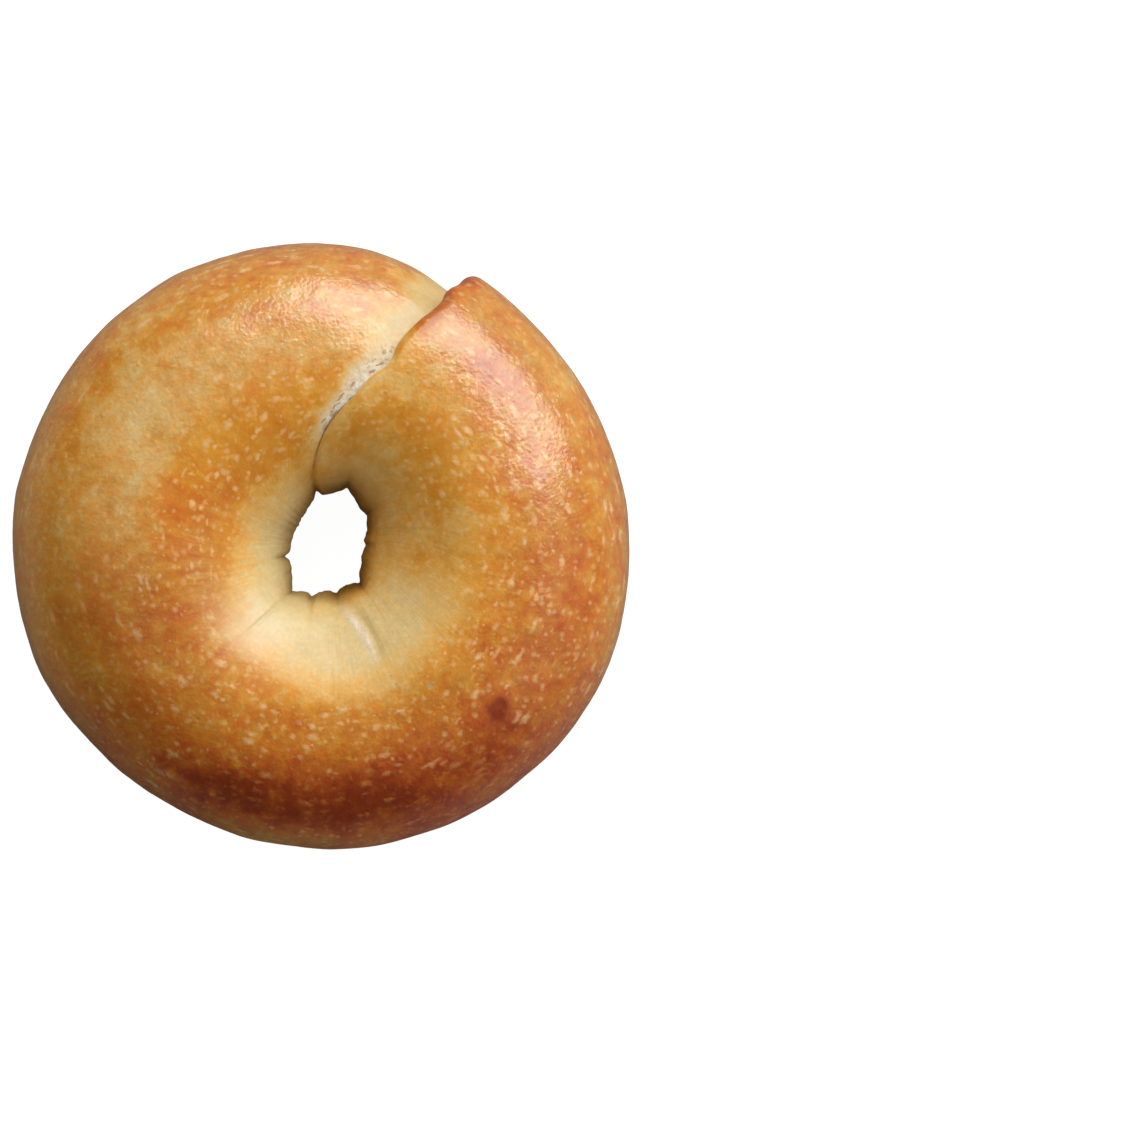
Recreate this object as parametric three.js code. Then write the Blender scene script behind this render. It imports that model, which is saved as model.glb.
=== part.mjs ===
// A plain bagel: one ring of boiled and baked dough, lying crust up.
//
// The dough was rolled into a rope and closed into a ring, one blunt end laid over the other.
// That lap is the ring's one step: a swollen end that rounds over its own edge, and beside it
// the thinner end that dives beneath. The hole closed to a small leaning oval as the dough
// rose, and its wall is gathered into creases.
//
// Millimetres and degrees, +Z up. The origin is under the middle of the bagel's bounding box,
// at the level it rests on. Angles run anticlockwise from +X, seen from above.

import * as THREE from 'three';

// Driving dimensions
const RIM_RADIUS = 55.15; // middle of the ring to the widest part of the crust, on average
const HEIGHT = 37; // table to the crest of the crust, on average
const RIM_LEVEL = 17; // table to the level where the ring is widest
const BOTTOM_PRESS = 0.8; // how far the underside was pressed flat by its own weight

// Roundness of the section: 2 is an ellipse, more is squarer, less is nearer a straight slope
const BOTTOM_ROUNDNESS = 2.3;
const SHOULDER_ROUNDNESS = 2.15;
const FUNNEL_ROUNDNESS = 1.72;
const FULLER_FUNNEL = { at: 135, width: 40, roundness: 0.45 }; // where it bulges over the hole
const CREST_BLEND = 0.5; // how far either side of the crest the shoulder gives way to the funnel
const RELIEF_FADE = { gone: -0.95, full: -0.2 }; // under the rim, as a share of the way down

// Waves of the rim and of the crest: how many round the ring, how high, and where one peaks
const RIM_SWELLS = [
  { count: 2, size: 0.65, at: -20 },
  { count: 3, size: 0.2, at: -48 },
  { count: 5, size: 0.14, at: -19 },
];
const CREST_SWELLS = [
  { count: 1, size: 0.5, at: 20 },
  { count: 2, size: 0.45, at: 35 },
  { count: 3, size: 0.3, at: 95 },
];

// The hole's waist: a leaning oval, drawn out into a crease wherever the dough was gathered
const HOLE = { x: 0.9, y: 0.5, long: 7.4, short: 6.0, lean: 53 };
const HOLE_CREASES = [
  // run: how much of the way out to the rim a crease takes to die out
  { at: 34, depth: 1.1, width: 16, run: 0.2 },
  { at: 70, depth: 2.8, width: 16, run: 0.2 },
  { at: 102, depth: 2.3, width: 15, run: 0.2 },
  { at: 198, depth: 0.9, width: 5, run: 0.1 },
  { at: 234, depth: 3.0, width: 13, run: 0.2 },
  { at: 254, depth: 1.8, width: 11, run: 0.14 },
  { at: 281, depth: 1.8, width: 16, run: 0.2 },
  { at: 309, depth: 2.7, width: 16, run: 0.2 },
];

// The lap of the two dough ends. Its edge swings round from the rim to the hole.
const LAP = {
  rimAngle: 62.3,
  holeAngle: 100.8,
  swing: 1.8, // above 1, most of the swing is near the hole
  straightWay: 0.1, // from here down into the hole it swings no further
  lip: 1.4, // how far the upper end stands proud at the rim
  swell: 15, // how far back along the ring that swelling reaches
  edge: 0.8, // rounding of the upper end's edge
  dip: 3.6, // how far the lower end dives at the edge, at the rim
  recover: 12, // how far round it takes to come back up, at the rim
  holeRecover: 0.3, // share of that distance left at the hole
  hollowness: 1.5, // above 1, it stays down near the edge and comes up late
  closing: 1.5, // above 1, the step keeps low near the hole and grows towards the rim
};

// The fold in the funnel, where a tuck of dough was pinched shut
const FOLD = {
  at: 282.5,
  turn: 12, // how far round it is carried from its start to its end
  bow: 8.5, // and how far it bends out past that line, midway
  depth: 0.6,
  clockwiseWidth: 1.9, // its clockwise side slopes gently, the other side is steep
  otherWidth: 0.8,
  start: 0.02,
  end: 0.38,
};

// How finely the ring is cut into facets
const STATIONS = 144; // round the ring, closer together beside the lap
const CROWDING = 1.35; // 1 spaces the stations evenly
const SECTION_POINTS = 32; // round the section

const { degToRad, lerp, smoothstep } = THREE.MathUtils;

// Smallest signed turn from one direction to another, -180 to 180
function turn(from, to) {
  return ((((to - from + 180) % 360) + 360) % 360) - 180;
}

function waves(swells, angle) {
  return swells.reduce((sum, { count, size, at }) => sum + size * Math.cos(degToRad(count * (angle - at))), 0);
}

function rimRadius(angle) {
  return RIM_RADIUS + waves(RIM_SWELLS, angle);
}

function holeRadius(angle) {
  const along = HOLE.short * Math.cos(degToRad(angle - HOLE.lean));
  const across = HOLE.long * Math.sin(degToRad(angle - HOLE.lean));
  return (HOLE.long * HOLE.short) / Math.hypot(along, across);
}

function bell(from, to, width) {
  return Math.exp(-((turn(from, to) / width) ** 2));
}

// Where the lap's edge stands, for a place between the hole (0) and the rim (1)
function lapAngle(way) {
  const inward = Math.min(1, (1 - way) / (1 - LAP.straightWay));
  return lerp(LAP.rimAngle, LAP.holeAngle, inward ** LAP.swing);
}

// Height of the crust beside the lap's edge. Distances past the edge are on the lower end.
// Towards the hole the step closes to nothing, and the crease there takes over.
function lapRelief(past, way) {
  const strength = way ** LAP.closing;
  if (past > 0) {
    const recover = LAP.recover * lerp(LAP.holeRecover, 1, way);
    return -LAP.dip * strength * Math.exp(-((past / recover) ** LAP.hollowness));
  }
  return LAP.lip * strength * (Math.exp(-((past / LAP.swell) ** 2)) - Math.exp(past / LAP.edge));
}

// Depth of the creases that gather the hole's wall
function creaseRelief(angle, way) {
  return HOLE_CREASES.reduce((sum, { at, depth, width, run }) => {
    const fade = (1 - smoothstep(way, 0, run)) ** 2;
    return sum + fade * depth * Math.exp(-Math.abs(turn(at, angle)) / width);
  }, 0);
}

// Depth of the fold, a short groove that curves up the funnel
function foldRelief(angle, way, radius) {
  const along = (way - FOLD.start) / (FOLD.end - FOLD.start);
  if (along <= 0 || along >= 1) return 0;
  const bottom = FOLD.at + FOLD.turn * along + 4 * FOLD.bow * along * (1 - along);
  const off = degToRad(turn(bottom, angle)) * radius;
  const width = off < 0 ? FOLD.clockwiseWidth : FOLD.otherWidth;
  return FOLD.depth * Math.sin(Math.PI * along) * Math.exp(-((off / width) ** 2));
}

// Roundness of the section, from the shoulder (across 1) over the crest (0) into the funnel (-1)
function roundness(across, up, fromLap) {
  if (up < 0) return BOTTOM_ROUNDNESS;
  const { at, width, roundness: more } = FULLER_FUNNEL;
  const funnel = FUNNEL_ROUNDNESS + more * bell(at, LAP.holeAngle + fromLap, width);
  return lerp(SHOULDER_ROUNDNESS, funnel, smoothstep(-across, -CREST_BLEND, CREST_BLEND));
}

// A point of the crust: how far round from the lap's edge, and how far round the section,
// which runs from the rim (0) over the crest (90) and the hole's waist (180) to the base (270)
function crustPoint(fromLap, section) {
  const across = Math.cos(degToRad(section));
  const up = Math.sin(degToRad(section));
  const power = 2 / roundness(across, up, fromLap);
  const way = (1 + Math.sign(across) * Math.abs(across) ** power) / 2;

  const nearLap = (1 + Math.cos(degToRad(fromLap))) / 2;
  const opposite = (LAP.rimAngle + LAP.holeAngle) / 2;
  const angle = fromLap + lerp(opposite, lapAngle(way), nearLap);
  const inner = holeRadius(angle);
  const outer = rimRadius(angle);
  const radius = lerp(inner, outer, way);

  const rise = HEIGHT - RIM_LEVEL + waves(CREST_SWELLS, angle);
  const drop = RIM_LEVEL + BOTTOM_PRESS;
  const height = RIM_LEVEL + (up < 0 ? -drop : rise) * Math.abs(up) ** power;

  // Relief stands along the section's outward normal, and dies out under the rim
  const halfWidth = (outer - inner) / 2;
  const normal = new THREE.Vector2(across / halfWidth, up / (up < 0 ? drop : rise)).normalize();
  const above = smoothstep(up, RELIEF_FADE.gone, RELIEF_FADE.full);
  const past = degToRad(fromLap) * radius;
  const relief =
    above * lapRelief(past, way) - above * foldRelief(angle, way, radius) - creaseRelief(angle, way);

  const reach = radius + normal.x * relief;
  return new THREE.Vector3(
    HOLE.x * (1 - way) + reach * Math.cos(degToRad(angle)),
    HOLE.y * (1 - way) + reach * Math.sin(degToRad(angle)),
    Math.max(0, height + normal.y * relief),
  );
}

// The closed skin: a grid that meets itself both ways round
function bagelGeometry() {
  const positions = [];
  for (let i = 0; i < STATIONS; i += 1) {
    const share = (2 * (i + 0.5)) / STATIONS - 1;
    const fromLap = 180 * Math.sign(share) * Math.abs(share) ** CROWDING;
    for (let j = 0; j < SECTION_POINTS; j += 1) {
      positions.push(...crustPoint(fromLap, (360 * j) / SECTION_POINTS).toArray());
    }
  }

  const index = [];
  const corner = (i, j) => (i % STATIONS) * SECTION_POINTS + (j % SECTION_POINTS);
  for (let i = 0; i < STATIONS; i += 1) {
    for (let j = 0; j < SECTION_POINTS; j += 1) {
      const [a, b, c, d] = [corner(i, j), corner(i + 1, j), corner(i + 1, j + 1), corner(i, j + 1)];
      index.push(a, b, c, a, c, d);
    }
  }

  const geometry = new THREE.BufferGeometry();
  geometry.setAttribute('position', new THREE.Float32BufferAttribute(positions, 3));
  geometry.setIndex(index);
  return geometry;
}

// Middle of the bounding box over the origin, with the flat underside at zero
function centreOverOrigin(geometry) {
  geometry.computeBoundingBox();
  const middle = geometry.boundingBox.getCenter(new THREE.Vector3());
  geometry.translate(-middle.x, -middle.y, -geometry.boundingBox.min.z);
  geometry.computeVertexNormals();
  return geometry;
}

const crust = new THREE.MeshStandardMaterial({ color: 0xc0803c, roughness: 0.45, metalness: 0 });

const bagel = new THREE.Mesh(centreOverOrigin(bagelGeometry()), crust);
bagel.name = 'bagel';

const group = new THREE.Group();
group.add(bagel);

export default group;
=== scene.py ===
# A plain bagel, lying crust up on a pale table.
#
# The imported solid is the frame: it says where the bagel lies and how large it is. The finished
# bagel is one skin of dough, worked up from the same ring, lap, creases and fold at a finer
# scale. Lengths in the sections below are millimetres until the skin becomes a mesh, angles
# are degrees anticlockwise from +X, and "way" runs from the hole's wall (0) to the rim (1).
import math

import bpy
import numpy as np
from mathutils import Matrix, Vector, noise


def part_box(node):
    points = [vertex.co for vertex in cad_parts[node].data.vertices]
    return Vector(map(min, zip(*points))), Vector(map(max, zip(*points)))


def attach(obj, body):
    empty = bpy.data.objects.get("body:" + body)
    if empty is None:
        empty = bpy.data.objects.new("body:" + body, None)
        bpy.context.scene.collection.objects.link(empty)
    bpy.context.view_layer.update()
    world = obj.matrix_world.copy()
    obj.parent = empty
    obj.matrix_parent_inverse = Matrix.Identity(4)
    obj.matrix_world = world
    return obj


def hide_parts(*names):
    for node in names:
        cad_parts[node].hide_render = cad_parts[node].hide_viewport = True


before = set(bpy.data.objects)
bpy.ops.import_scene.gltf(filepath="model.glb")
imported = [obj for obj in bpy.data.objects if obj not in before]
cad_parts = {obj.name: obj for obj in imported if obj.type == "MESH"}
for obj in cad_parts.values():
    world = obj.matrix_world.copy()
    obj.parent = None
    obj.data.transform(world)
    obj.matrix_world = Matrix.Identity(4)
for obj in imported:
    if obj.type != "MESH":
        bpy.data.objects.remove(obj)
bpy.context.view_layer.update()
MM = 0.001


# ---------------------------------------------------------------------------------------------
# The ring of dough. A rope of stiff wheat dough, proved, boiled and baked: round in section,
# pressed flat underneath by its own weight, and risen until the hole closed to a small oval.
# ---------------------------------------------------------------------------------------------
RIM_RADIUS = 55.15
HEIGHT = 37.0
RIM_LEVEL = 17.0
BOTTOM_PRESS = 0.8

# Roundness of the section: 2 is an ellipse, more is squarer, less is nearer a straight slope
BOTTOM_ROUNDNESS = 2.3
SHOULDER_ROUNDNESS = 2.15
FUNNEL_ROUNDNESS = 1.72
FULLER_FUNNEL = (0.45, 135, 40)  # how much rounder, on which side, how far round
CREST_BLEND = 0.5  # how far either side of the crest the shoulder gives way to the funnel
RELIEF_FADE = (-0.95, -0.2)  # where relief is gone and full again, up from the underside

# Waves of the rim and of the crest: how many round the ring, how high, and where one peaks
RIM_SWELLS = ((2, 0.65, -20), (3, 0.20, -48), (5, 0.14, -19))
CREST_SWELLS = ((1, 0.50, 20), (2, 0.45, 35), (3, 0.30, 95))

HOLE_CENTRE = (0.9, 0.5)
HOLE_LONG = 7.4
HOLE_SHORT = 6.0
HOLE_LEAN = 53

# Points of the skin: stations round the ring crowd beside the lap, and the section has more
# points over the crust that shows than under it
STATIONS = 512
CROWDING = 1.22
TOP_SECTION = (-20, 200)
TOP_POINTS = 132
BASE_POINTS = 29


def turn(start, end):
    """Smallest signed turn from one direction to another."""
    return (end - start + 180) % 360 - 180


def smooth(value, low, high):
    """Smooth step from 0 at low to 1 at high."""
    t = np.clip((value - low) / (high - low), 0, 1)
    return t * t * (3 - 2 * t)


def bell(angle, at, width):
    return np.exp(-((turn(at, angle) / width) ** 2))


def on_side(angle, amount, at, width):
    """An amount that is full at one angle of the ring and dies out round it, over a width."""
    return amount * bell(angle, at, width)


def waves(swells, angle):
    return sum(size * np.cos(np.radians(count * (angle - at))) for count, size, at in swells)


def hole_radius(angle):
    along = HOLE_SHORT * np.cos(np.radians(angle - HOLE_LEAN))
    across = HOLE_LONG * np.sin(np.radians(angle - HOLE_LEAN))
    return HOLE_LONG * HOLE_SHORT / np.hypot(along, across)


share = (2 * np.arange(STATIONS) + 1) / STATIONS - 1
station_turn = 180 * np.sign(share) * np.abs(share) ** CROWDING
section_turn = np.concatenate(
    [
        np.linspace(-90, TOP_SECTION[0], BASE_POINTS, endpoint=False),
        np.linspace(*TOP_SECTION, TOP_POINTS, endpoint=False),
        np.linspace(TOP_SECTION[1], 270, BASE_POINTS, endpoint=False),
    ]
)
from_lap, section = np.meshgrid(station_turn, section_turn, indexing="ij")


# ---------------------------------------------------------------------------------------------
# The lap, where the rope's two ends were laid over each other and rolled together. The upper
# end is swollen and rounds over its own edge. The lower end dives beneath it, and its skin
# tore there as the dough rose.
# ---------------------------------------------------------------------------------------------
LAP_RIM_ANGLE = 62.3
LAP_HOLE_ANGLE = 100.8
LAP_SWING = 1.8  # above 1, most of the swing is near the hole
LAP_STRAIGHT_WAY = 0.1  # from here down into the hole it swings no further
LAP_BENDS = (
    # how many degrees its edge strays, and where and over how much of the way to the rim
    (-2.5, 0.42, 0.11),
    (-2.6, 0.575, 0.06),
    (0.6, 0.76, 0.08),
    (0.9, 0.925, 0.03),
)
LAP_CLOSING = 1.5  # above 1, the step keeps low near the hole and grows towards the rim
LAP_LIP = 1.4
LAP_SWELL = 15
LAP_DIP = 3.6
LAP_RECOVER = 12
LAP_HOLE_RECOVER = 0.3  # share of that distance left at the hole
LAP_HOLLOWNESS = 1.5

# The upper end's rounded nose: how far it rounds over, how far its edge turns down in the
# middle of the lap and at the rim, and where on the way each of these grows
LAP_NOSE = 2.7
LAP_NOSE_LEAST = 0.05
LAP_NOSE_TURN = (75, 112)
LAP_NOSE_TURN_WAY = (0.55, 0.9)
LAP_NOSE_DROP_WAY = (0.05, 0.6)
LAP_NOSE_CARRY_WAY = (0.4, 0.9)

# The shallow groove that carries the lap's line on down the funnel
LAP_GROOVE = 0.35
LAP_GROOVE_WIDTH = 0.5
LAP_GROOVE_WAY = (0.26, 0.48)


def lap_angle(way):
    inward = np.minimum(1, (1 - way) / (1 - LAP_STRAIGHT_WAY))
    strayed = sum(degrees * bell(way, at, width) for degrees, at, width in LAP_BENDS)
    return LAP_RIM_ANGLE + (LAP_HOLE_ANGLE - LAP_RIM_ANGLE) * inward**LAP_SWING + strayed


def lap_relief(past, way):
    """Height of the crust beside the lap's edge, and how far its rounded nose is carried over."""
    strength = way**LAP_CLOSING
    recover = LAP_RECOVER * (LAP_HOLE_RECOVER + (1 - LAP_HOLE_RECOVER) * way)
    lower = -LAP_DIP * strength * np.exp(-((np.maximum(past, 0) / recover) ** LAP_HOLLOWNESS))

    nose = LAP_NOSE * way + LAP_NOSE_LEAST
    back = np.clip(-past / nose, 0, 1)
    turned = LAP_NOSE_TURN[0] + (LAP_NOSE_TURN[1] - LAP_NOSE_TURN[0]) * smooth(way, *LAP_NOSE_TURN_WAY)
    bend = np.radians(turned) * (1 - back)
    dropped = nose * (1 - np.cos(bend)) * smooth(way, *LAP_NOSE_DROP_WAY)
    upper = LAP_LIP * strength * np.exp(-((past / LAP_SWELL) ** 2)) - dropped
    carried = nose * (np.sin(bend) - (1 - back)) * smooth(way, *LAP_NOSE_CARRY_WAY)

    groove = LAP_GROOVE * np.exp(-((past / LAP_GROOVE_WIDTH) ** 2)) * (1 - smooth(way, *LAP_GROOVE_WAY))
    return np.where(past > 0, lower, upper) - groove, np.where(past > 0, 0, carried)


# ---------------------------------------------------------------------------------------------
# Creases and tucks. The hole's wall was gathered as the hole closed, so it is pleated from
# top to bottom, and a few tucks of skin run out of it over the funnel.
# ---------------------------------------------------------------------------------------------
HOLE_CREASES = (
    # at, depth, width, and how much of the way out to the rim it takes to die out
    (34, 1.1, 16, 0.20),
    (70, 2.8, 16, 0.20),
    (102, 2.3, 15, 0.20),
    (198, 0.9, 5, 0.10),
    (234, 3.0, 13, 0.20),
    (254, 1.8, 11, 0.14),
    (281, 1.8, 16, 0.20),
    (309, 2.7, 16, 0.20),
)
TUCKS = (
    # depth, width on its clockwise side, width on the other, at, turn, bow, start, end
    (0.42, 1.90, 0.85, 282.5, 12, 8.5, 0.02, 0.38),
    (0.22, 0.35, 0.35, 234.0, -5, 0.0, 0.02, 0.36),
    (0.45, 0.40, 0.40, 256.0, 3, 0.0, 0.00, 0.15),
)


def crease_relief(angle, way):
    return sum(
        (1 - smooth(way, 0, run)) ** 2 * depth * np.exp(-np.abs(turn(at, angle)) / width)
        for at, depth, width, run in HOLE_CREASES
    )


def past_tuck(angle, way, radius, at, swing, bow, start, end):
    """How far along a tuck a place is, from 0 to 1, and how far round past its bottom."""
    along = np.clip((way - start) / (end - start), 0, 1)
    bottom = at + swing * along + 4 * bow * along * (1 - along)
    return along, np.radians(turn(bottom, angle)) * radius


def tuck_relief(angle, way, radius):
    depth_here = 0
    for depth, clockwise, other, *run in TUCKS:
        along, off = past_tuck(angle, way, radius, *run)
        width = np.where(off < 0, clockwise, other)
        depth_here += depth * np.sin(np.pi * along) * np.exp(-((off / width) ** 2))
    return depth_here


def skin(from_lap, section):
    """Points of the crust, with the way, angle, distance past the lap and share above the base."""
    across = np.cos(np.radians(section))
    up = np.sin(np.radians(section))
    funnel = FUNNEL_ROUNDNESS + on_side(LAP_HOLE_ANGLE + from_lap, *FULLER_FUNNEL)
    past_crest = smooth(-across, -CREST_BLEND, CREST_BLEND)
    roundness = SHOULDER_ROUNDNESS + (funnel - SHOULDER_ROUNDNESS) * past_crest
    power = 2 / np.where(up < 0, BOTTOM_ROUNDNESS, roundness)
    way = (1 + np.sign(across) * np.abs(across) ** power) / 2

    near_lap = (1 + np.cos(np.radians(from_lap))) / 2
    opposite = (LAP_RIM_ANGLE + LAP_HOLE_ANGLE) / 2
    angle = from_lap + opposite + (lap_angle(way) - opposite) * near_lap
    inner = hole_radius(angle)
    outer = RIM_RADIUS + waves(RIM_SWELLS, angle)
    radius = inner + (outer - inner) * way

    rise = HEIGHT - RIM_LEVEL + waves(CREST_SWELLS, angle)
    drop = RIM_LEVEL + BOTTOM_PRESS
    height = RIM_LEVEL + np.where(up < 0, -drop, rise) * np.abs(up) ** power

    # Relief stands along the section's outward normal, and dies out under the rim
    half_width = (outer - inner) / 2
    normal_out = across / half_width
    normal_up = up / np.where(up < 0, drop, rise)
    length = np.hypot(normal_out, normal_up)
    above = smooth(up, *RELIEF_FADE)
    past = np.radians(from_lap) * radius
    lap, carried = lap_relief(past, way)
    stands = above * (lap - tuck_relief(angle, way, radius)) - crease_relief(angle, way)

    reach = radius + normal_out / length * stands
    angle = angle + np.degrees(above * carried / radius)
    points = np.stack(
        [
            HOLE_CENTRE[0] * (1 - way) + reach * np.cos(np.radians(angle)),
            HOLE_CENTRE[1] * (1 - way) + reach * np.sin(np.radians(angle)),
            np.maximum(0, height + normal_up / length * stands),
        ],
        axis=-1,
    )
    return points, way, angle, past, above


points, way, angle, past, above = skin(from_lap, section)

low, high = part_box("bagel")
middle = (points.reshape(-1, 3).min(0) + points.reshape(-1, 3).max(0)) / 2
points[..., 0] += (low.x + high.x) / 2 / MM - middle[0]
points[..., 1] += (low.y + high.y) / 2 / MM - middle[1]


# ---------------------------------------------------------------------------------------------
# The torn skin. Along the middle of the lap the lower end's skin tore into a rough, pale strip
# with pits in its deepest part. The wide tuck's clockwise side tore a little too, and a few
# blisters burst.
# ---------------------------------------------------------------------------------------------
TEAR_WIDTH = 8.8
TEAR_RAGGED = (0.4, 5, 3)  # share of its width that the edge strays, size of grain, octaves
TEAR_FADE = (0.10, 1.25)  # shares of its width where it begins to fade and is gone
TEAR_LEAST = 0.01  # keeps that width above nothing at the hole
TEAR_SETS_IN = (0.22, 0.34)
TEAR_DIES_OUT = (0.50, 0.76)
TEAR_ABOVE = (0.2, 0.9)
TUCK_FLANK = (1.25, 0.8)  # how far clockwise of the tuck's bottom, and how wide
TUCK_TORN = 0.85
TUCK_TORN_FROM = (0.1, 0.5)
PITTED = (1.3, 1.2, 1.5)  # amount, how far past the lap's edge, how wide
PITTED_SETS_IN = (0.21, 0.26)
PITTED_DIES_OUT = (0.58, 0.70)
BURST_BLISTERS = (
    # x, y, radius
    (13.0, -23.4, 0.50),
    (13.9, -24.9, 0.50),
    (20.0, -24.9, 0.75),
    (1.3, 20.9, 0.8),
)
OCTAVE_FALL = 1.0
OCTAVE_STEP = 2.0


def relief(grid, height, size, octaves):
    """Smooth random relief: how far it goes either way, the size of its grain, its octaves."""
    flat = grid.reshape(-1, 3) / size
    values = [noise.fractal(Vector(p), OCTAVE_FALL, OCTAVE_STEP, octaves) for p in flat]
    return height * np.array(values).reshape(grid.shape[:-1])


def away_from(x, y):
    """How far each point is from a place, seen from above."""
    return np.hypot(points[..., 0] - x, points[..., 1] - y)


tear_edge = TEAR_WIDTH * way * (1 + relief(points, *TEAR_RAGGED))
fading, gone = TEAR_FADE
tear = np.where(past > 0, 1 - smooth(past, fading * tear_edge, gone * tear_edge + TEAR_LEAST), 0)
tear = tear * smooth(way, *TEAR_SETS_IN) * (1 - smooth(way, *TEAR_DIES_OUT)) * smooth(above, *TEAR_ABOVE)

along, off = past_tuck(angle, way, np.hypot(points[..., 0], points[..., 1]), *TUCKS[0][3:])
flank = np.exp(-(((off + TUCK_FLANK[0]) / TUCK_FLANK[1]) ** 2)) * np.sin(np.pi * along)
tear = np.maximum(tear, TUCK_TORN * flank * smooth(along, *TUCK_TORN_FROM) * above)

amount, at, width = PITTED
pitted = np.minimum(1, amount * np.exp(-(((past - at) / width) ** 2))) * (past > 0)
pitted = pitted * smooth(way, *PITTED_SETS_IN) * (1 - smooth(way, *PITTED_DIES_OUT)) * above

burst = 0 * way
for x, y, radius in BURST_BLISTERS:
    burst = np.maximum(burst, np.exp(-((away_from(x, y) / radius) ** 2)) * above)


# ---------------------------------------------------------------------------------------------
# Surface of the dough. Hand rolling leaves it a little lumpy, the funnel is drawn into fine
# radial wrinkles, the hole's wall is puckered, and boiling raised low blisters in the skin.
# ---------------------------------------------------------------------------------------------
# Kinds of relief: height, size of grain, octaves
LUMPS = (0.40, 17, 2)
RIPPLES = (0.05, 3.6, 3)
WRINKLES = (0.04, 1, 2)
PUCKERS = (0.38, 1, 2)
RAGGED_TEAR = (0.11, 1.6, 4)

WRINKLE_TURN = 5
WRINKLE_RUN = 2.5
WRINKLE_WAY = (0.2, 0.42)
PUCKER_TURN = 13
PUCKER_WAY = (0, 0.07)
PUCKER_UP = (-0.6, 0.2)

BLISTER_COUNT = 300
BLISTER_SEED = 7
BLISTER_SECTION = (5, 150)  # degrees round the section, from the rim over the crest
BLISTER_TORN = 0.1  # none sits where the skin is torn more than this
BLISTER_RADIUS = (0.6, 1.4)
BLISTER_HEIGHT = (0.03, 0.08)
BLISTER_CROWN = 1.2  # 1 is a plain dome, more is more pointed
BLISTER_PALE_REACH = 1.35  # in radii
BLISTER_PALE_RISE = 0.2  # blisters as high as this are fully pale
BIG_BLISTERS = (
    # x, y, radius, height
    (-14.6, -38.6, 1.0, 0.25),
    (-26.3, -40.4, 0.9, 0.20),
    (-19.1, -44.0, 0.9, 0.2),
)
HIGHER_COUNTS = 50  # being nearer by 1 counts as much as being this much higher


def grid_normals(grid):
    """Unit normals of a grid that closes both ways round, pointing out of the dough."""
    round_ring = np.roll(grid, -1, 0) - np.roll(grid, 1, 0)
    round_section = np.roll(grid, -1, 1) - np.roll(grid, 1, 1)
    normal = np.cross(round_ring, round_section)
    return normal / np.linalg.norm(normal, axis=-1, keepdims=True)


# Lengths along the crust, for what is drawn out with the dough: round the ring at its crest,
# and across it over the section
CREST_RADIUS = 32
round_ring = np.radians(from_lap % 360) * CREST_RADIUS
steps = np.linalg.norm(np.diff(points, axis=1), axis=-1).mean(0)
over_section = np.broadcast_to(np.concatenate([[0], np.cumsum(steps)]), way.shape)

lumps = relief(points, *LUMPS)
ripples = relief(points, *RIPPLES)
radial = np.stack([angle / WRINKLE_TURN, way * WRINKLE_RUN, way * 0], -1)
wrinkles = relief(radial, *WRINKLES) * (1 - smooth(way, *WRINKLE_WAY)) * above
puckers = relief(np.stack([angle / PUCKER_TURN, 0 * way, 0 * way], -1), *PUCKERS)
puckers = puckers * (1 - smooth(way, *PUCKER_WAY)) * smooth(np.sin(np.radians(section)), *PUCKER_UP)
ragged = relief(points, *RAGGED_TEAR) * tear
points += grid_normals(points) * (lumps * above + ripples + wrinkles + puckers + ragged)[..., None]
points[..., 2] = np.maximum(points[..., 2], 0)

rng = np.random.default_rng(BLISTER_SEED)
flat_points = points.reshape(-1, 3)
flat_normals = grid_normals(points).reshape(-1, 3)
boiled = (section > BLISTER_SECTION[0]) & (section < BLISTER_SECTION[1]) & (tear < BLISTER_TORN)
seats = flat_points[rng.choice(np.flatnonzero(boiled.reshape(-1)), BLISTER_COUNT, replace=False)]
blisters = [
    (seat, rng.uniform(*BLISTER_RADIUS), rng.uniform(*BLISTER_HEIGHT)) for seat in seats
]
for x, y, radius, rise in BIG_BLISTERS:
    away = np.hypot(flat_points[:, 0] - x, flat_points[:, 1] - y)
    nearest = np.argmin(away - flat_points[:, 2] / HIGHER_COUNTS)
    blisters.append((flat_points[nearest], radius, rise))

blistered = np.zeros(len(flat_points))
raised = np.zeros(len(flat_points))
for seat, radius, rise in blisters:
    close = np.linalg.norm(flat_points - seat, axis=1) / radius
    raised = np.maximum(raised, rise * np.clip(1 - close**2, 0, 1) ** BLISTER_CROWN)
    pale = np.clip(BLISTER_PALE_REACH - close, 0, 1) * min(1, rise / BLISTER_PALE_RISE)
    blistered = np.maximum(blistered, pale)
points = (flat_points + flat_normals * raised[:, None]).reshape(points.shape)
blistered = blistered.reshape(way.shape)


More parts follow.
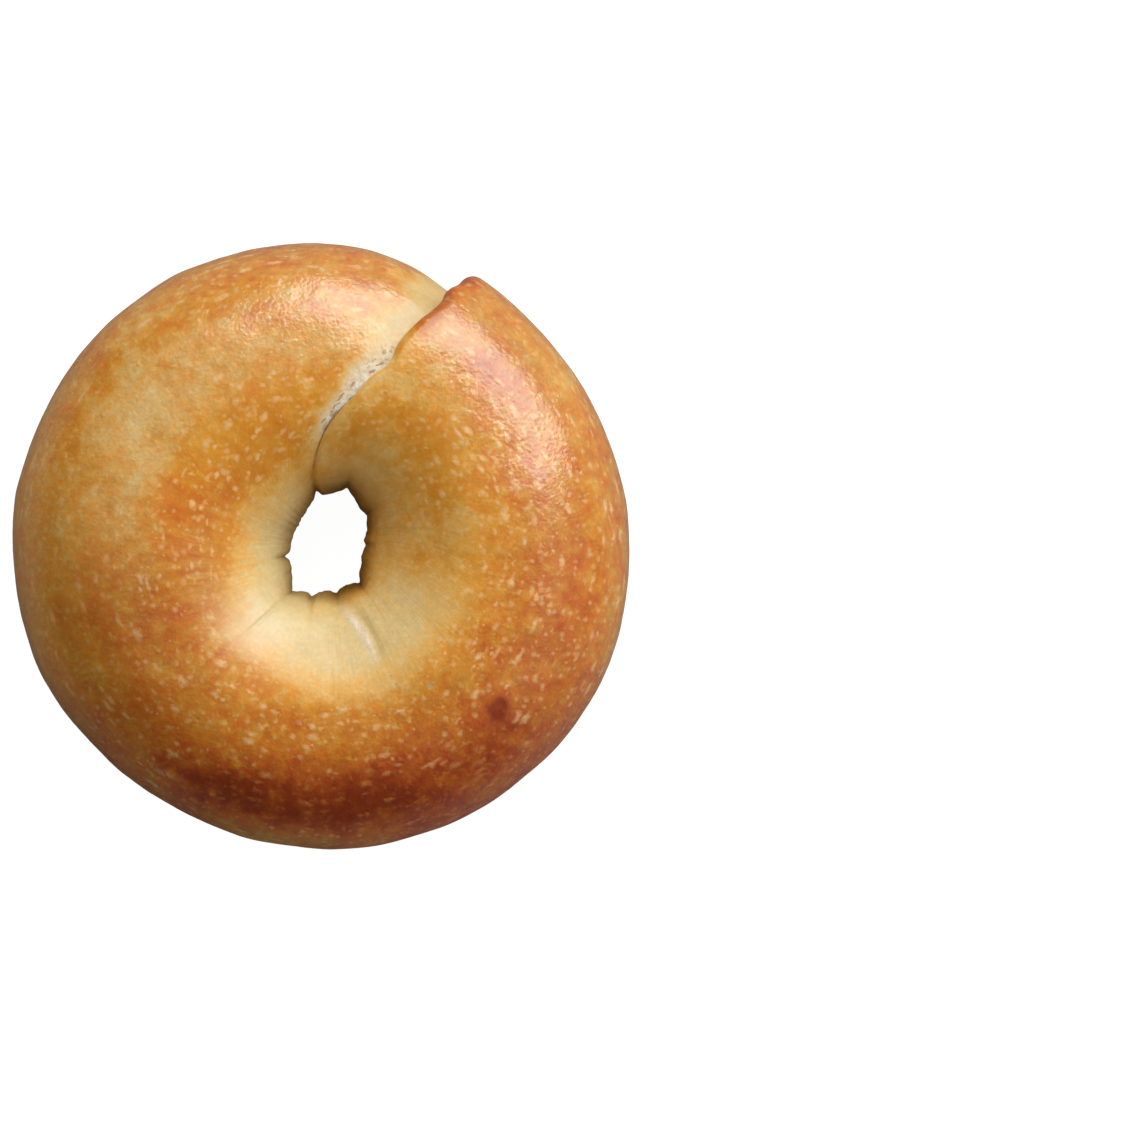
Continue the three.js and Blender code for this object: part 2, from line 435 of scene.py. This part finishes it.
# ---------------------------------------------------------------------------------------------
# Bake of the crust. Dough browns most on the side that faced the oven's heat and stays pale
# where it was sheltered: down in the hole and inside the lap. 0 is raw dough, 1 is burnt.
# ---------------------------------------------------------------------------------------------
CRUST_LEVEL = 0.535
UNDERSIDE_LEVEL = 0.52
UNDERSIDE_HEIGHT = (3, 13)
BAKE_SIDES = (
    # amount, at, width round the ring, and where it sets in on the way to the rim
    (0.50, 276, 43, 0.56, 0.87),
    (0.04, 0, 35, 0.50, 0.70),
    (0.10, 62, 16, 0.70, 0.84),
    (0.11, 92, 14, 0.84, 0.93),
    (0.11, 207, 24, 0.28, 0.46),
    (0.07, 330, 42, 0.42, 0.56),
    (0.06, 160, 38, 0.16, 0.28),
    (-0.23, 150, 40, 0.40, 0.60),
    (-0.04, 62, 30, 0.05, 0.20),
    (-0.10, 62, 14, 0.40, 0.50),
    (-0.15, 208, 25, 0.70, 0.82),
    (-0.08, 36, 26, 0.82, 0.92),
    (0.06, 50, 32, 0.62, 0.76),
    (0.08, 108, 30, 0.64, 0.85),
    (0.08, 155, 32, 0.76, 0.88),
    (-0.09, 92, 14, 0.48, 0.58),
    (-0.10, 347, 14, 0.80, 0.92),
    (0.12, 262, 26, 0.46, 0.54),
    (-0.10, 262, 26, 0.56, 0.66),
    (0.10, 219, 14, 0.79, 0.86),
    (0.08, 142, 14, 0.80, 0.90),
)
RIM_PALER = (0.42, 266, 28)  # amount, at, width round the ring
RIM_PALER_TURN = (0.70, 0.96)

# The sheltered ring of pale dough round the hole, with a soft, uneven edge
PALE_RING = 0.105
PALE_BULGE = (0.31, 297, 70)
PALE_BULGE_SIDE = PALE_BULGE[1:]
PALE_WANDER = (0.03, 9, 3)  # how far its edge strays, size of grain, octaves
PALE_EDGE_IN = 0.13
PALE_EDGE_LEAST = 0.6  # share of that softness left away from the bulge
PALE_EDGE_OUT = 0.16
FUNNEL_LEVEL = 0.03
# Browner on the funnel's right side and at its wall there: painted shade, the olive tone that side takes
# in shade
SHADED_FUNNEL_BROWNER = (0.29, 15, 62)
WALL_SHADE_LEVEL = 0.36
WALL_SIDE = (315, 50)
WALL_WAY = (0.05, 0.16)
# Browner right at the hole's waist: painted shade where the wall turns down into the hole
WAIST_PAINTED_SHADE = 0.08
WAIST_WAY = (0, 0.05)

# Streaks drawn out of the hole on one side
STREAK_TURN = 3
STREAK_RUN = 4
STREAK_GRAIN = (1, 1, 3)
STREAK_SIDE = (200, 55)
STREAK_LEVEL = 0.16
STREAK_SETS_IN = (0.1, 0.2)
STREAK_DIES_OUT = (0.4, 0.6)
STREAKED_EDGE = 0.05

# The lower end's skin came out of the lap late, so it is pale beside the lap. The upper end's
# edge stood up into the heat at the rim, and not in the funnel.
LAP_PALE = 11.5
LAP_PALE_WIDENS = 0.8
LAP_PALE_RAGGED = (0.4, 5, 3)
LAP_PALE_FADE = 0.3
LAP_PALE_WAY = (0.12, 0.3)
LAP_PALE_LEVEL = 0.11
LAP_EDGE_WIDTH = 3.2
LAP_EDGE_TOAST = 0.33
LAP_TOAST_WAY = (0.62, 0.84)
LAP_FLANK_PALER = 0.18
LAP_FLANK_SETS_IN = (0.1, 0.25)
LAP_FLANK_DIES_OUT = (0.45, 0.7)

PATCHES = (
    # x, y, spread, amount
    (-1.5, 17.0, 3.5, 0.08), (-18.0, 18.0, 5, -0.10), (-42.9, -14.6, 6, 0.06), (31.0, 29.0, 6, 0.12),
    (-21.5, -43.0, 8, 0.16), (43.7, -12.3, 9, 0.05), (27.5, 48.0, 3.5, 0.08), (-33.6, 25.8, 9, -0.06),
    (-19.8, -28.4, 2.0, -0.12), (-0.2, -35.3, 3, -0.10), (21.7, -9.9, 8, -0.10), (18.4, -31.9, 6, 0.08),
    (16.5, 19.5, 3.0, 0.04), (10.5, 15.8, 4.0, -0.20), (17.5, -2.5, 4, 0.14), (-0.4, 11.2, 3.0, 0.16),
    (-5.5, 14.5, 3.5, -0.10), (-19.5, -34.5, 4, -0.12), (19.7, -40.0, 6, -0.08), (0.0, -47.5, 5, -0.08),
    (25.0, 2.5, 5, -0.18), (16.0, 9.5, 3, -0.10), (-13.5, -13.5, 6, -0.12), (27.0, 15.5, 4, -0.08),
)
BURNT_SPOT = (31.9, -29.0)
BURNT_SPREAD = 2.0
BURNT_RAGGED = (1.0, 2.4, 2)
BURNT_AMOUNT = 0.56
BLISTER_PALER = 0.22

browning = CRUST_LEVEL + 0 * way
for amount, at, width, start, full in BAKE_SIDES:
    browning += on_side(angle, amount, at, width) * smooth(way, start, full)
rim_turn = np.cos(np.radians(section))
browning -= on_side(angle, *RIM_PALER) * smooth(rim_turn, *RIM_PALER_TURN)

drawn = np.stack([angle / STREAK_TURN, way * STREAK_RUN, way * 0], -1)
streaks = relief(drawn, *STREAK_GRAIN) * bell(angle, *STREAK_SIDE)
browning += STREAK_LEVEL * streaks * smooth(way, *STREAK_SETS_IN) * (1 - smooth(way, *STREAK_DIES_OUT))

ring_edge = PALE_RING + on_side(angle, *PALE_BULGE) + relief(points, *PALE_WANDER)
ring_edge += STREAKED_EDGE * streaks
softness = PALE_EDGE_IN * (PALE_EDGE_LEAST + (1 - PALE_EDGE_LEAST) * bell(angle, *PALE_BULGE_SIDE))
in_ring = 1 - smooth(way, ring_edge - softness, ring_edge + PALE_EDGE_OUT)
# painted shade as browning on the funnel's shaded side and its wall
funnel = FUNNEL_LEVEL + on_side(angle, *SHADED_FUNNEL_BROWNER)
funnel += (WALL_SHADE_LEVEL - funnel) * (1 - smooth(way, *WALL_WAY)) * bell(angle, *WALL_SIDE)
browning += (funnel - browning) * in_ring

lap_pale = LAP_PALE * way**LAP_PALE_WIDENS * (1 + relief(points, *LAP_PALE_RAGGED))
beside_lap = np.where(past > 0, 1 - smooth(past, LAP_PALE_FADE * lap_pale, lap_pale), 0)
beside_lap = beside_lap * smooth(way, *LAP_PALE_WAY) * above
browning += (LAP_PALE_LEVEL - browning) * beside_lap
lap_edge = np.exp(-((np.minimum(past, 0) / LAP_EDGE_WIDTH) ** 2)) * (past <= 0) * above
browning += LAP_EDGE_TOAST * lap_edge * smooth(way, *LAP_TOAST_WAY)
in_funnel = (1 - smooth(way, *LAP_FLANK_DIES_OUT)) * smooth(way, *LAP_FLANK_SETS_IN)
browning -= LAP_FLANK_PALER * lap_edge * in_funnel

for x, y, spread, amount in PATCHES:
    browning += amount * np.exp(-((away_from(x, y) / spread) ** 2)) * above
from_spot = np.maximum(0, away_from(*BURNT_SPOT) + relief(points, *BURNT_RAGGED))
burnt = np.exp(-((from_spot / BURNT_SPREAD) ** 2)) * above
# the burnt spot, and painted shade as browning at the hole's waist
browning += BURNT_AMOUNT * burnt + WAIST_PAINTED_SHADE * (1 - smooth(way, *WAIST_WAY))
browning = UNDERSIDE_LEVEL + (browning - UNDERSIDE_LEVEL) * smooth(points[..., 2], *UNDERSIDE_HEIGHT)
browning -= BLISTER_PALER * blistered
browning = np.clip(browning, 0, 1)


# ---------------------------------------------------------------------------------------------
# Painted shade and shine. Painted shade darkens the crust's colour where it turns down into the
# hole, along the tuck, over the funnel and in broad bands on several sides of the ring. The gel that
# boiling left is thin in the funnel, in the lap and at the rim on one side, so the crust shines less
# there.
# ---------------------------------------------------------------------------------------------
EDGE_SHADE = (0.38, 0.57)  # painted shade at the hole's edge: at its least, and how much more where it is deepest
EDGE_SHADE_WAY = (0.055, 0.075)  # how far it reaches at its least, and how much further there
# sides of the hole where that painted shade is deepest: amount, at, width of each side
EDGE_SHADE_DEEPER = ((0.30, 40, 85), (1.0, 298, 38))
# painted shade along the tuck's flank
TUCK_SHADE = 0.20
# painted shade over the funnel: a little all round, and more on one side
FUNNEL_SHADE = 0.05
FUNNEL_SHADE_SIDE = (0.24, 48, 75)
FUNNEL_SHADE_WAY = (0.15, 0.60)
# Painted shade in broad bands on several sides of the ring
PAINTED_SHADE_SIDES = (
    # amount, at, width round the ring, where it sets in and where it dies out again
    (0.29, 203, 36, 0.12, 0.32, 0.82, 0.93),
    (0.14, 200, 28, 0.62, 0.74, 0.88, 0.96),
    (0.16, 262, 34, 0.60, 0.74, 0.97, 1.00),
    (0.20, 56, 32, 0.64, 0.78, 0.88, 0.96),
    (0.10, 300, 16, 0.36, 0.46, 0.60, 0.72),
)
LESS_SPOTTED = (0.45, 190, 42)
LESS_SPOTTED_WAY = (0.5, 0.7)
BURNT_BARE = 3  # flecks are gone wherever the burnt spot is over one part in this of full strength
MATT_WAY = (0.38, 0.60)
MATT_FUNNEL = 0.85
MATT_LAP = 0.55
MATT_LAP_EDGE = 0.7
MATT_RIM = (0.85, 245, 75)
MATT_RIM_WAY = (0.78, 0.93)
SHINY_PATCH = (-11.0, -15.5)
SHINY_SPREAD = 6
SHINY_AMOUNT = 0.6

# Painted shade: at the hole's edge, along the tuck, over the funnel and in bands on the ring's sides
deeper_shade = np.minimum(1, sum(on_side(angle, *side) for side in EDGE_SHADE_DEEPER))
edge = 1 - smooth(way, 0, EDGE_SHADE_WAY[0] + EDGE_SHADE_WAY[1] * deeper_shade)
shade = (EDGE_SHADE[0] + EDGE_SHADE[1] * deeper_shade) * edge + TUCK_SHADE * flank
# painted shade over the funnel
sheltered = FUNNEL_SHADE + on_side(angle, *FUNNEL_SHADE_SIDE)
shade += sheltered * (1 - smooth(way, *FUNNEL_SHADE_WAY))
for amount, at, width, start, full, fading, gone in PAINTED_SHADE_SIDES:
    shade += on_side(angle, amount, at, width) * smooth(way, start, full) * (1 - smooth(way, fading, gone))
shade = np.minimum(1, shade)

spotted = 1 - on_side(angle, *LESS_SPOTTED) * smooth(way, *LESS_SPOTTED_WAY)
spotted *= 1 - np.minimum(1, BURNT_BARE * burnt)

funnel_skin = (1 - smooth(way, *MATT_WAY)) * above
shine = 1 - MATT_FUNNEL * funnel_skin
shine += SHINY_AMOUNT * np.exp(-((away_from(*SHINY_PATCH) / SHINY_SPREAD) ** 2))
shine *= (1 - MATT_LAP * beside_lap) * (1 - MATT_LAP_EDGE * lap_edge)
shine *= 1 - on_side(angle, *MATT_RIM) * smooth(way, *MATT_RIM_WAY)


# ---------------------------------------------------------------------------------------------
# The skin as one closed mesh: its points meet both ways round. It carries what the bake did to
# each point, the lengths along the crust, and its unrolled sheet.
# ---------------------------------------------------------------------------------------------
rows, columns = way.shape
corner = np.arange(rows * columns).reshape(rows, columns)
faces = np.stack(
    [
        corner,
        np.roll(corner, -1, 0),
        np.roll(np.roll(corner, -1, 0), -1, 1),
        np.roll(corner, -1, 1),
    ],
    axis=-1,
).reshape(-1, 4)

mesh = bpy.data.meshes.new("bagel_crust")
mesh.from_pydata((points * MM).reshape(-1, 3).tolist(), [], faces.tolist())
mesh.shade_smooth()

of_each_point = {
    "browning": browning,
    "torn": tear,
    "pitted": pitted,
    "burst": burst,
    "shade": shade,
    "funnel_skin": funnel_skin,
    "shine": shine,
    "spotted": spotted,
}
for name, values in of_each_point.items():
    layer = mesh.attributes.new(name, "FLOAT", "POINT")
    layer.data.foreach_set("value", values.reshape(-1).astype("f"))
grain = np.stack([round_ring, over_section, 0 * way], -1)
grain_layer = mesh.attributes.new("grain", "FLOAT_VECTOR", "POINT")
grain_layer.data.foreach_set("vector", grain.reshape(-1).astype("f"))

unrolled = mesh.uv_layers.new(name="OFBake")
row, column = np.indices(way.shape)
across_sheet = (row[..., None] + np.array([0, 1, 1, 0])) / rows
up_sheet = (column[..., None] + np.array([0, 0, 1, 1])) / columns
unrolled.data.foreach_set("uv", np.stack([across_sheet, up_sheet], -1).reshape(-1).astype("f"))

bagel = bpy.data.objects.new("bagel_crust", mesh)
bpy.context.scene.collection.objects.link(bagel)


# ---------------------------------------------------------------------------------------------
# Finish of the crust: less and more browned dough, with specks that browned less, a thin satin
# skin where it was boiled, and open rough crumb where it tore.
# ---------------------------------------------------------------------------------------------
# Below, a cloud of noise is given as size of grain, detail and roughness, and a range as the
# two ends of what goes in and of what comes out.
BAKE_COLOURS = (
    (0.00, (0.70, 0.55, 0.265)),
    (0.20, (0.76, 0.47, 0.145)),
    (0.33, (0.76, 0.405, 0.086)),
    (0.47, (0.72, 0.30, 0.028)),
    (0.65, (0.64, 0.185, 0.010)),
    (0.77, (0.56, 0.125, 0.008)),
    (0.87, (0.44, 0.075, 0.005)),
    (1.00, (0.28, 0.037, 0.004)),
)
FLECK_COLOUR = (0.90, 0.53, 0.23, 1)
DARK_FLECK_COLOUR = (0.70, 0.27, 0.06, 1)
# the colour that the painted shade multiplies in
SHADE_TINT = (0.28, 0.26, 0.18, 1)
TORN_COLOUR = (0.80, 0.71, 0.56, 1)
TORN_SHADE = (0.66, 0.53, 0.37, 1)
PIT_COLOUR = (0.48, 0.32, 0.17, 1)

crust = bpy.data.materials.new("baked crust")
crust.use_nodes = True
tree = crust.node_tree
shader = tree.nodes["Principled BSDF"]


def add(kind, **settings):
    """A new node of the crust's material, with its properties set."""
    made = tree.nodes.new(kind)
    for name, value in settings.items():
        setattr(made, name, value)
    return made


def feed(socket, source):
    """Links a source socket, or sets a plain value."""
    if isinstance(source, bpy.types.NodeSocket):
        tree.links.new(source, socket)
    else:
        socket.default_value = source


def math_node(operation, *sources, clamp=False):
    made = add("ShaderNodeMath", operation=operation, use_clamp=clamp)
    for socket, source in zip(made.inputs, sources):
        feed(socket, source)
    return made.outputs[0]


def times(*sources):
    return math_node("MULTIPLY", *sources)


def plus(*sources):
    return math_node("ADD", *sources)


def map_range(source, low, high, out_low, out_high):
    """Smooth change from one value to another while the source goes from low to high."""
    made = add("ShaderNodeMapRange", interpolation_type="SMOOTHSTEP")
    for socket, value in zip(made.inputs, (source, low, high, out_low, out_high)):
        feed(socket, value)
    return made.outputs[0]


def of_skin(name, output="Fac"):
    """What the mesh carries under that name."""
    return add("ShaderNodeAttribute", attribute_name=name).outputs[output]


def in_steps(vector, size):
    """A place counted in steps of that size: one size, or one for each direction."""
    sizes = size if isinstance(size, tuple) else (size,) * 3
    made = add("ShaderNodeVectorMath", operation="MULTIPLY")
    feed(made.inputs[0], vector)
    made.inputs[1].default_value = [1 / step for step in sizes]
    return made.outputs[0]


def cloud(vector, size, detail, roughness=0.5):
    """A noise node with grains of that size."""
    made = add("ShaderNodeTexNoise", noise_dimensions="3D")
    feed(made.inputs["Vector"], in_steps(vector, size))
    made.inputs["Scale"].default_value = 1
    made.inputs["Detail"].default_value = detail
    made.inputs["Roughness"].default_value = roughness
    return made


def grain_of(vector, size, detail, roughness=0.5):
    return cloud(vector, size, detail, roughness).outputs[0]


def specks(vector, cell, reach_low, reach_high, keep):
    """Soft spots, one to a cell: how big they grow, and what share of the cells has one."""
    made = add("ShaderNodeTexVoronoi", voronoi_dimensions="3D")
    feed(made.inputs["Vector"], in_steps(vector, cell))
    made.inputs["Scale"].default_value = 1
    parts = add("ShaderNodeSeparateColor")
    feed(parts.inputs[0], made.outputs["Color"])
    reach = map_range(parts.outputs[0], 0, 1, reach_low, reach_high)
    spot = math_node("SUBTRACT", 1, math_node("DIVIDE", made.outputs["Distance"], reach), clamp=True)
    there = math_node("LESS_THAN", parts.outputs[1], keep)
    return times(spot, there)


def mixed(factor, plain, over, blend_type="MIX"):
    """One colour laid over another."""
    made = add("ShaderNodeMixRGB", blend_type=blend_type)
    for socket, source in zip(made.inputs, (factor, plain, over)):
        feed(socket, source)
    return made.outputs[0]


# Where each mark of the skin lies: along the grain of the dough, or just in its place. Both are
# carried about a little, by that much in each direction, so that no two marks look alike.
WANDER = (1.2, 2)
GRAIN_WANDER = (1.2, 1.0, 0)
PLACE_WANDER = (0.8, 0.8, 0.8)

along_grain = of_skin("grain", "Vector")
place = in_steps(add("ShaderNodeTexCoord").outputs["Object"], MM)
wander = cloud(place, *WANDER).outputs["Color"]


def carried_about(vector, amount):
    shift = add("ShaderNodeVectorMath", operation="MULTIPLY_ADD")
    feed(shift.inputs[0], wander)
    shift.inputs[1].default_value = amount
    feed(shift.inputs[2], vector)
    return shift.outputs[0]


uneven_grain = carried_about(along_grain, GRAIN_WANDER)
uneven_place = carried_about(place, PLACE_WANDER)

# Flecks, spots and streaks where the skin stood off the dough and stayed pale. For the spots
# and streaks: the cell, the least and most that one fills of it, and the share that has one.
FLECKS = (1.1, 1, 0.5)
FLECKS_FROM = (0.50, 0.74, 0, 1)
PALE_SPOTS = ((2.9, 1.8, 1), 0.16, 0.46, 0.55)
SMALL_SPOTS = (1.3, 0.24, 0.60, 0.55)
PALE_STREAKS = ((6.5, 1.9, 1), 0.10, 0.34, 0.22)
SMALL_SPOT_SHARE = 0.6
STREAK_SHARE = 0.9
MOST_PALE = 0.75
MARKS_SHOW = (0.15, 0.60, 0.1, 1)
MARKS_SCORCHED = (0.74, 0.92, 1, 0.5)
MARKS_DARKEN = (0.74, 0.92, 0, 1)

flecks = map_range(grain_of(place, *FLECKS), *FLECKS_FROM)
pale_spots = specks(uneven_grain, *PALE_SPOTS)
small_spots = specks(uneven_place, *SMALL_SPOTS)
pale_streaks = specks(uneven_grain, *PALE_STREAKS)
stood_off = plus(pale_spots, times(small_spots, SMALL_SPOT_SHARE))
stood_off = plus(stood_off, times(pale_streaks, STREAK_SHARE))
showing = times(map_range(of_skin("browning"), *MARKS_SHOW), of_skin("spotted"))
showing = times(showing, map_range(of_skin("browning"), *MARKS_SCORCHED))
stood_off = times(math_node("MINIMUM", stood_off, MOST_PALE), showing)

# Mottling, from broad patches down to the grain of the skin. Pale dough, the funnel and the
# sides with few spots are more even. The mottling changes the hue more than it darkens.
UNEVEN_FROM = (0.05, 0.36, 0.15, 1)
FUNNEL_EVENER = 0.45
UNSPOTTED_EVENER = (0.4, 1, 0.55, 1)
MOTTLING = ((9, 2, 0.34), (3.4, 2, 0.56), (1.5, 1, 0.25))
MARK_PALER = -0.12
FLECK_PALER = -0.10
HUE_KEPT = 0.4

uneven = map_range(of_skin("browning"), *UNEVEN_FROM)
uneven = times(uneven, math_node("SUBTRACT", 1, times(of_skin("funnel_skin"), FUNNEL_EVENER)))
uneven = times(uneven, map_range(of_skin("spotted"), *UNSPOTTED_EVENER))
mottling = plus(times(stood_off, MARK_PALER), times(flecks, FLECK_PALER))
for size, detail, strength in MOTTLING:
    swing = times(math_node("SUBTRACT", grain_of(place, size, detail), 0.5), strength)
    mottling = plus(mottling, times(swing, uneven))
level = math_node("ADD", of_skin("browning"), mottling, clamp=True)


def baked(source):
    """Colour of dough browned to that level."""
    ramp = add("ShaderNodeValToRGB")
    feed(ramp.inputs[0], source)
    while len(ramp.color_ramp.elements) < len(BAKE_COLOURS):
        ramp.color_ramp.elements.new(0.5)
    for element, (position, colour) in zip(ramp.color_ramp.elements, BAKE_COLOURS):
        element.position = position
        element.color = (*colour, 1)
    return ramp.outputs[0]


colour = mixed(HUE_KEPT, baked(level), baked(of_skin("browning")), "VALUE")
on_dark = map_range(of_skin("browning"), *MARKS_DARKEN)
colour = mixed(stood_off, colour, mixed(on_dark, FLECK_COLOUR, DARK_FLECK_COLOUR))

# Fine grain of the skin, then the painted shade, the torn crumb, and its pits
SKIN_GRAINS = ((0.75, 0.92, 1.07), (2.4, 0.94, 1.05))
SKIN_GRAIN_DETAIL = (1, 0.6)
SKIN_GRAIN_FROM = (0.3, 0.7)
LEAST_GRAIN = 0.5
CRUMB = (1.3, 3, 0.6)
CRUMB_FROM = (0.36, 0.62, 0, 1)
PITS = ((0.8, 1.5, 1), 0.30, 0.62, 0.7)
PITS_FROM = (0.1, 0.6, 0, 1)
BURST_FROM = (0.3, 0.9, 0, 0.9)

grainy = math_node("MAXIMUM", uneven, LEAST_GRAIN)
for size, darkest, lightest in SKIN_GRAINS:
    fine = map_range(grain_of(place, size, *SKIN_GRAIN_DETAIL), *SKIN_GRAIN_FROM, darkest, lightest)
    colour = mixed(grainy, colour, fine, "MULTIPLY")
colour = mixed(of_skin("shade"), colour, SHADE_TINT, "MULTIPLY")
crumb = grain_of(place, *CRUMB)
torn_skin = mixed(map_range(crumb, *CRUMB_FROM), TORN_SHADE, TORN_COLOUR)
colour = mixed(of_skin("torn"), colour, torn_skin)
pits = map_range(specks(uneven_grain, *PITS), *PITS_FROM)
pits = math_node("MULTIPLY", pits, of_skin("pitted"), clamp=True)
pits = math_node("MAXIMUM", pits, map_range(of_skin("burst"), *BURST_FROM))
colour = mixed(pits, colour, PIT_COLOUR)
feed(shader.inputs["Base Color"], colour)

# The skin itself is nearly matt. What shines is the gel that boiling left on it.
SATIN_FROM = (0.05, 0.45, 0.55, 0.45)
SATIN_UNEVEN = 0.1
TORN_ROUGHER = 0.3
SKIN_IOR = 1.45
SKIN_SPECULAR = 0.3
GEL_PATCHES = (2.0, 3, 0.6)
GEL_FROM = (0.3, 0.7, 0.82, 1.0)
GEL_ROUGHNESS = 0.28
GEL_IOR = 2.2

patches = grain_of(place, *GEL_PATCHES)
satin = plus(map_range(level, *SATIN_FROM), times(patches, SATIN_UNEVEN))
feed(shader.inputs["Roughness"], plus(satin, times(of_skin("torn"), TORN_ROUGHER)))
shader.inputs["IOR"].default_value = SKIN_IOR
shader.inputs["Specular IOR Level"].default_value = SKIN_SPECULAR
gel = times(of_skin("shine"), map_range(patches, *GEL_FROM))
gel = times(gel, math_node("SUBTRACT", 1, of_skin("torn")))
gel = math_node("MULTIPLY", gel, math_node("SUBTRACT", 1, pits), clamp=True)
feed(shader.inputs["Coat Weight"], gel)
shader.inputs["Coat Roughness"].default_value = GEL_ROUGHNESS
shader.inputs["Coat IOR"].default_value = GEL_IOR

# Height of the fine relief, in millimetres: pimples and marks of the skin, pleats drawn into
# the funnel, pits, and the rough crumb of the tear
PIMPLES = (0.7, 1, 0.4)
PIMPLE_HEIGHT = 0.085
MARK_HEIGHTS = ((flecks, 0.02), (pale_spots, 0.045), (small_spots, 0.03), (pale_streaks, 0.04))
PLEATS = ((0.8, 9, 1), 1)
PLEAT_HEIGHT = 0.045
PIT_HEIGHT = -0.08
CRUMB_HEIGHT = 0.3

height = times(grain_of(place, *PIMPLES), PIMPLE_HEIGHT)
for marks, rise in MARK_HEIGHTS:
    height = plus(height, times(marks, rise))
height = times(height, uneven)
pleats = times(grain_of(along_grain, *PLEATS), of_skin("funnel_skin"))
height = plus(height, times(pleats, PLEAT_HEIGHT))
height = plus(height, times(pits, PIT_HEIGHT))
height = plus(height, times(times(crumb, of_skin("torn")), CRUMB_HEIGHT))
bump = add("ShaderNodeBump")
bump.inputs["Strength"].default_value = 1
bump.inputs["Distance"].default_value = MM
feed(bump.inputs["Height"], height)
feed(shader.inputs["Normal"], bump.outputs[0])
feed(shader.inputs["Coat Normal"], bump.outputs[0])

mesh.materials.append(crust)
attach(bagel, "root")
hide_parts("bagel")


# ---------------------------------------------------------------------------------------------
# The table: a broad pale sheet, lit from beneath as a light table is, so the hole and the shadow
# stay light. The bagel gets only a dim bounce from it.
# ---------------------------------------------------------------------------------------------
TABLE_SIZE = 3.0
TABLE_COLOUR = (0.20, 0.20, 0.20, 1)
TABLE_ROUGHNESS = 0.9
TABLE_GLOW = 0.97
TABLE_GLOW_COLOUR = (1, 1, 1, 1)
TABLE_BOUNCE = (0.26, 0.26, 0.26, 1)

bpy.ops.mesh.primitive_plane_add(size=TABLE_SIZE, location=(0, 0, 0))
table = bpy.context.object
table.name = "table"
sheet = bpy.data.materials.new("lit table")
sheet.use_nodes = True
sheet_nodes = sheet.node_tree.nodes
sheet_links = sheet.node_tree.links
seen = sheet_nodes["Principled BSDF"]
seen.inputs["Base Color"].default_value = TABLE_COLOUR
seen.inputs["Roughness"].default_value = TABLE_ROUGHNESS
seen.inputs["Specular IOR Level"].default_value = 0.0
seen.inputs["Emission Color"].default_value = TABLE_GLOW_COLOUR
seen.inputs["Emission Strength"].default_value = TABLE_GLOW
bounce = sheet_nodes.new("ShaderNodeBsdfDiffuse")
bounce.inputs["Color"].default_value = TABLE_BOUNCE
rays = sheet_nodes.new("ShaderNodeLightPath")
choice = sheet_nodes.new("ShaderNodeMixShader")
sheet_links.new(rays.outputs["Is Camera Ray"], choice.inputs[0])
sheet_links.new(bounce.outputs[0], choice.inputs[1])
sheet_links.new(seen.outputs[0], choice.inputs[2])
sheet_links.new(choice.outputs[0], sheet_nodes["Material Output"].inputs["Surface"])
table.data.materials.append(sheet)


# ---------------------------------------------------------------------------------------------
# Light: one broad, low, soft light off the far right shoulder of the bagel, which alone shows
# in its gloss, a large fill high up behind the bagel and to the left, a small one from the
# right, and a dim even room.
# ---------------------------------------------------------------------------------------------
LIGHTS = (
    # name, azimuth, elevation, distance, width, height, power in watts, and whether it is
    # seen in the gloss
    ("key", 61, 36, 0.8, 1.0, 0.72, 6.0, True),
    ("top fill", 112, 58, 1.6, 1.6, 1.6, 11.4, False),
    ("side fill", 340, 35, 0.8, 0.8, 0.8, 2.6, False),
)
ROOM_LIGHT = 0.11
ROOM_COLOUR = (1, 1, 1, 1)


def toward(azimuth, elevation, distance):
    """A place that far from the bagel, in that direction."""
    out = math.cos(math.radians(elevation)) * distance
    return Vector(
        (
            out * math.cos(math.radians(azimuth)),
            out * math.sin(math.radians(azimuth)),
            math.sin(math.radians(elevation)) * distance,
        )
    )


for name, azimuth, elevation, distance, width, height, power, in_gloss in LIGHTS:
    glow = bpy.data.lights.new(name, "AREA")
    glow.shape = "RECTANGLE"
    glow.size = width
    glow.size_y = height
    glow.energy = power
    light = bpy.data.objects.new(name, glow)
    bpy.context.scene.collection.objects.link(light)
    light.location = toward(azimuth, elevation, distance)
    light.rotation_euler = (-light.location).to_track_quat("-Z", "Y").to_euler()
    light.visible_glossy = in_gloss

room = bpy.data.worlds.new("room")
bpy.context.scene.world = room
room.use_nodes = True
room.node_tree.nodes["Background"].inputs["Color"].default_value = ROOM_COLOUR
room.node_tree.nodes["Background"].inputs["Strength"].default_value = ROOM_LIGHT
room.cycles_visibility.glossy = False

bpy.context.scene.view_settings.view_transform = "Standard"


# ---------------------------------------------------------------------------------------------
# Camera: a long lens straight overhead, far enough off to keep the ring's true outline. The
# bagel lies to the left of the middle of the frame.
# ---------------------------------------------------------------------------------------------
FRAME_PIXELS = 1125
MM_PER_PIXEL = 0.1803
BAGEL_PIXEL = (321, 546)
LENS = 250
SENSOR = 36
FARTHEST = 20

frame_width = FRAME_PIXELS * MM_PER_PIXEL * MM
camera_data = bpy.data.cameras.new("camera")
camera_data.lens = LENS
camera_data.sensor_width = SENSOR
camera_data.clip_end = FARTHEST
camera = bpy.data.objects.new("camera", camera_data)
bpy.context.scene.collection.objects.link(camera)
camera.location = (
    (FRAME_PIXELS / 2 - BAGEL_PIXEL[0]) * MM_PER_PIXEL * MM,
    (BAGEL_PIXEL[1] - FRAME_PIXELS / 2) * MM_PER_PIXEL * MM,
    RIM_LEVEL * MM + frame_width * LENS / SENSOR,
)
bpy.context.scene.camera = camera

bpy.context.view_layer.update()
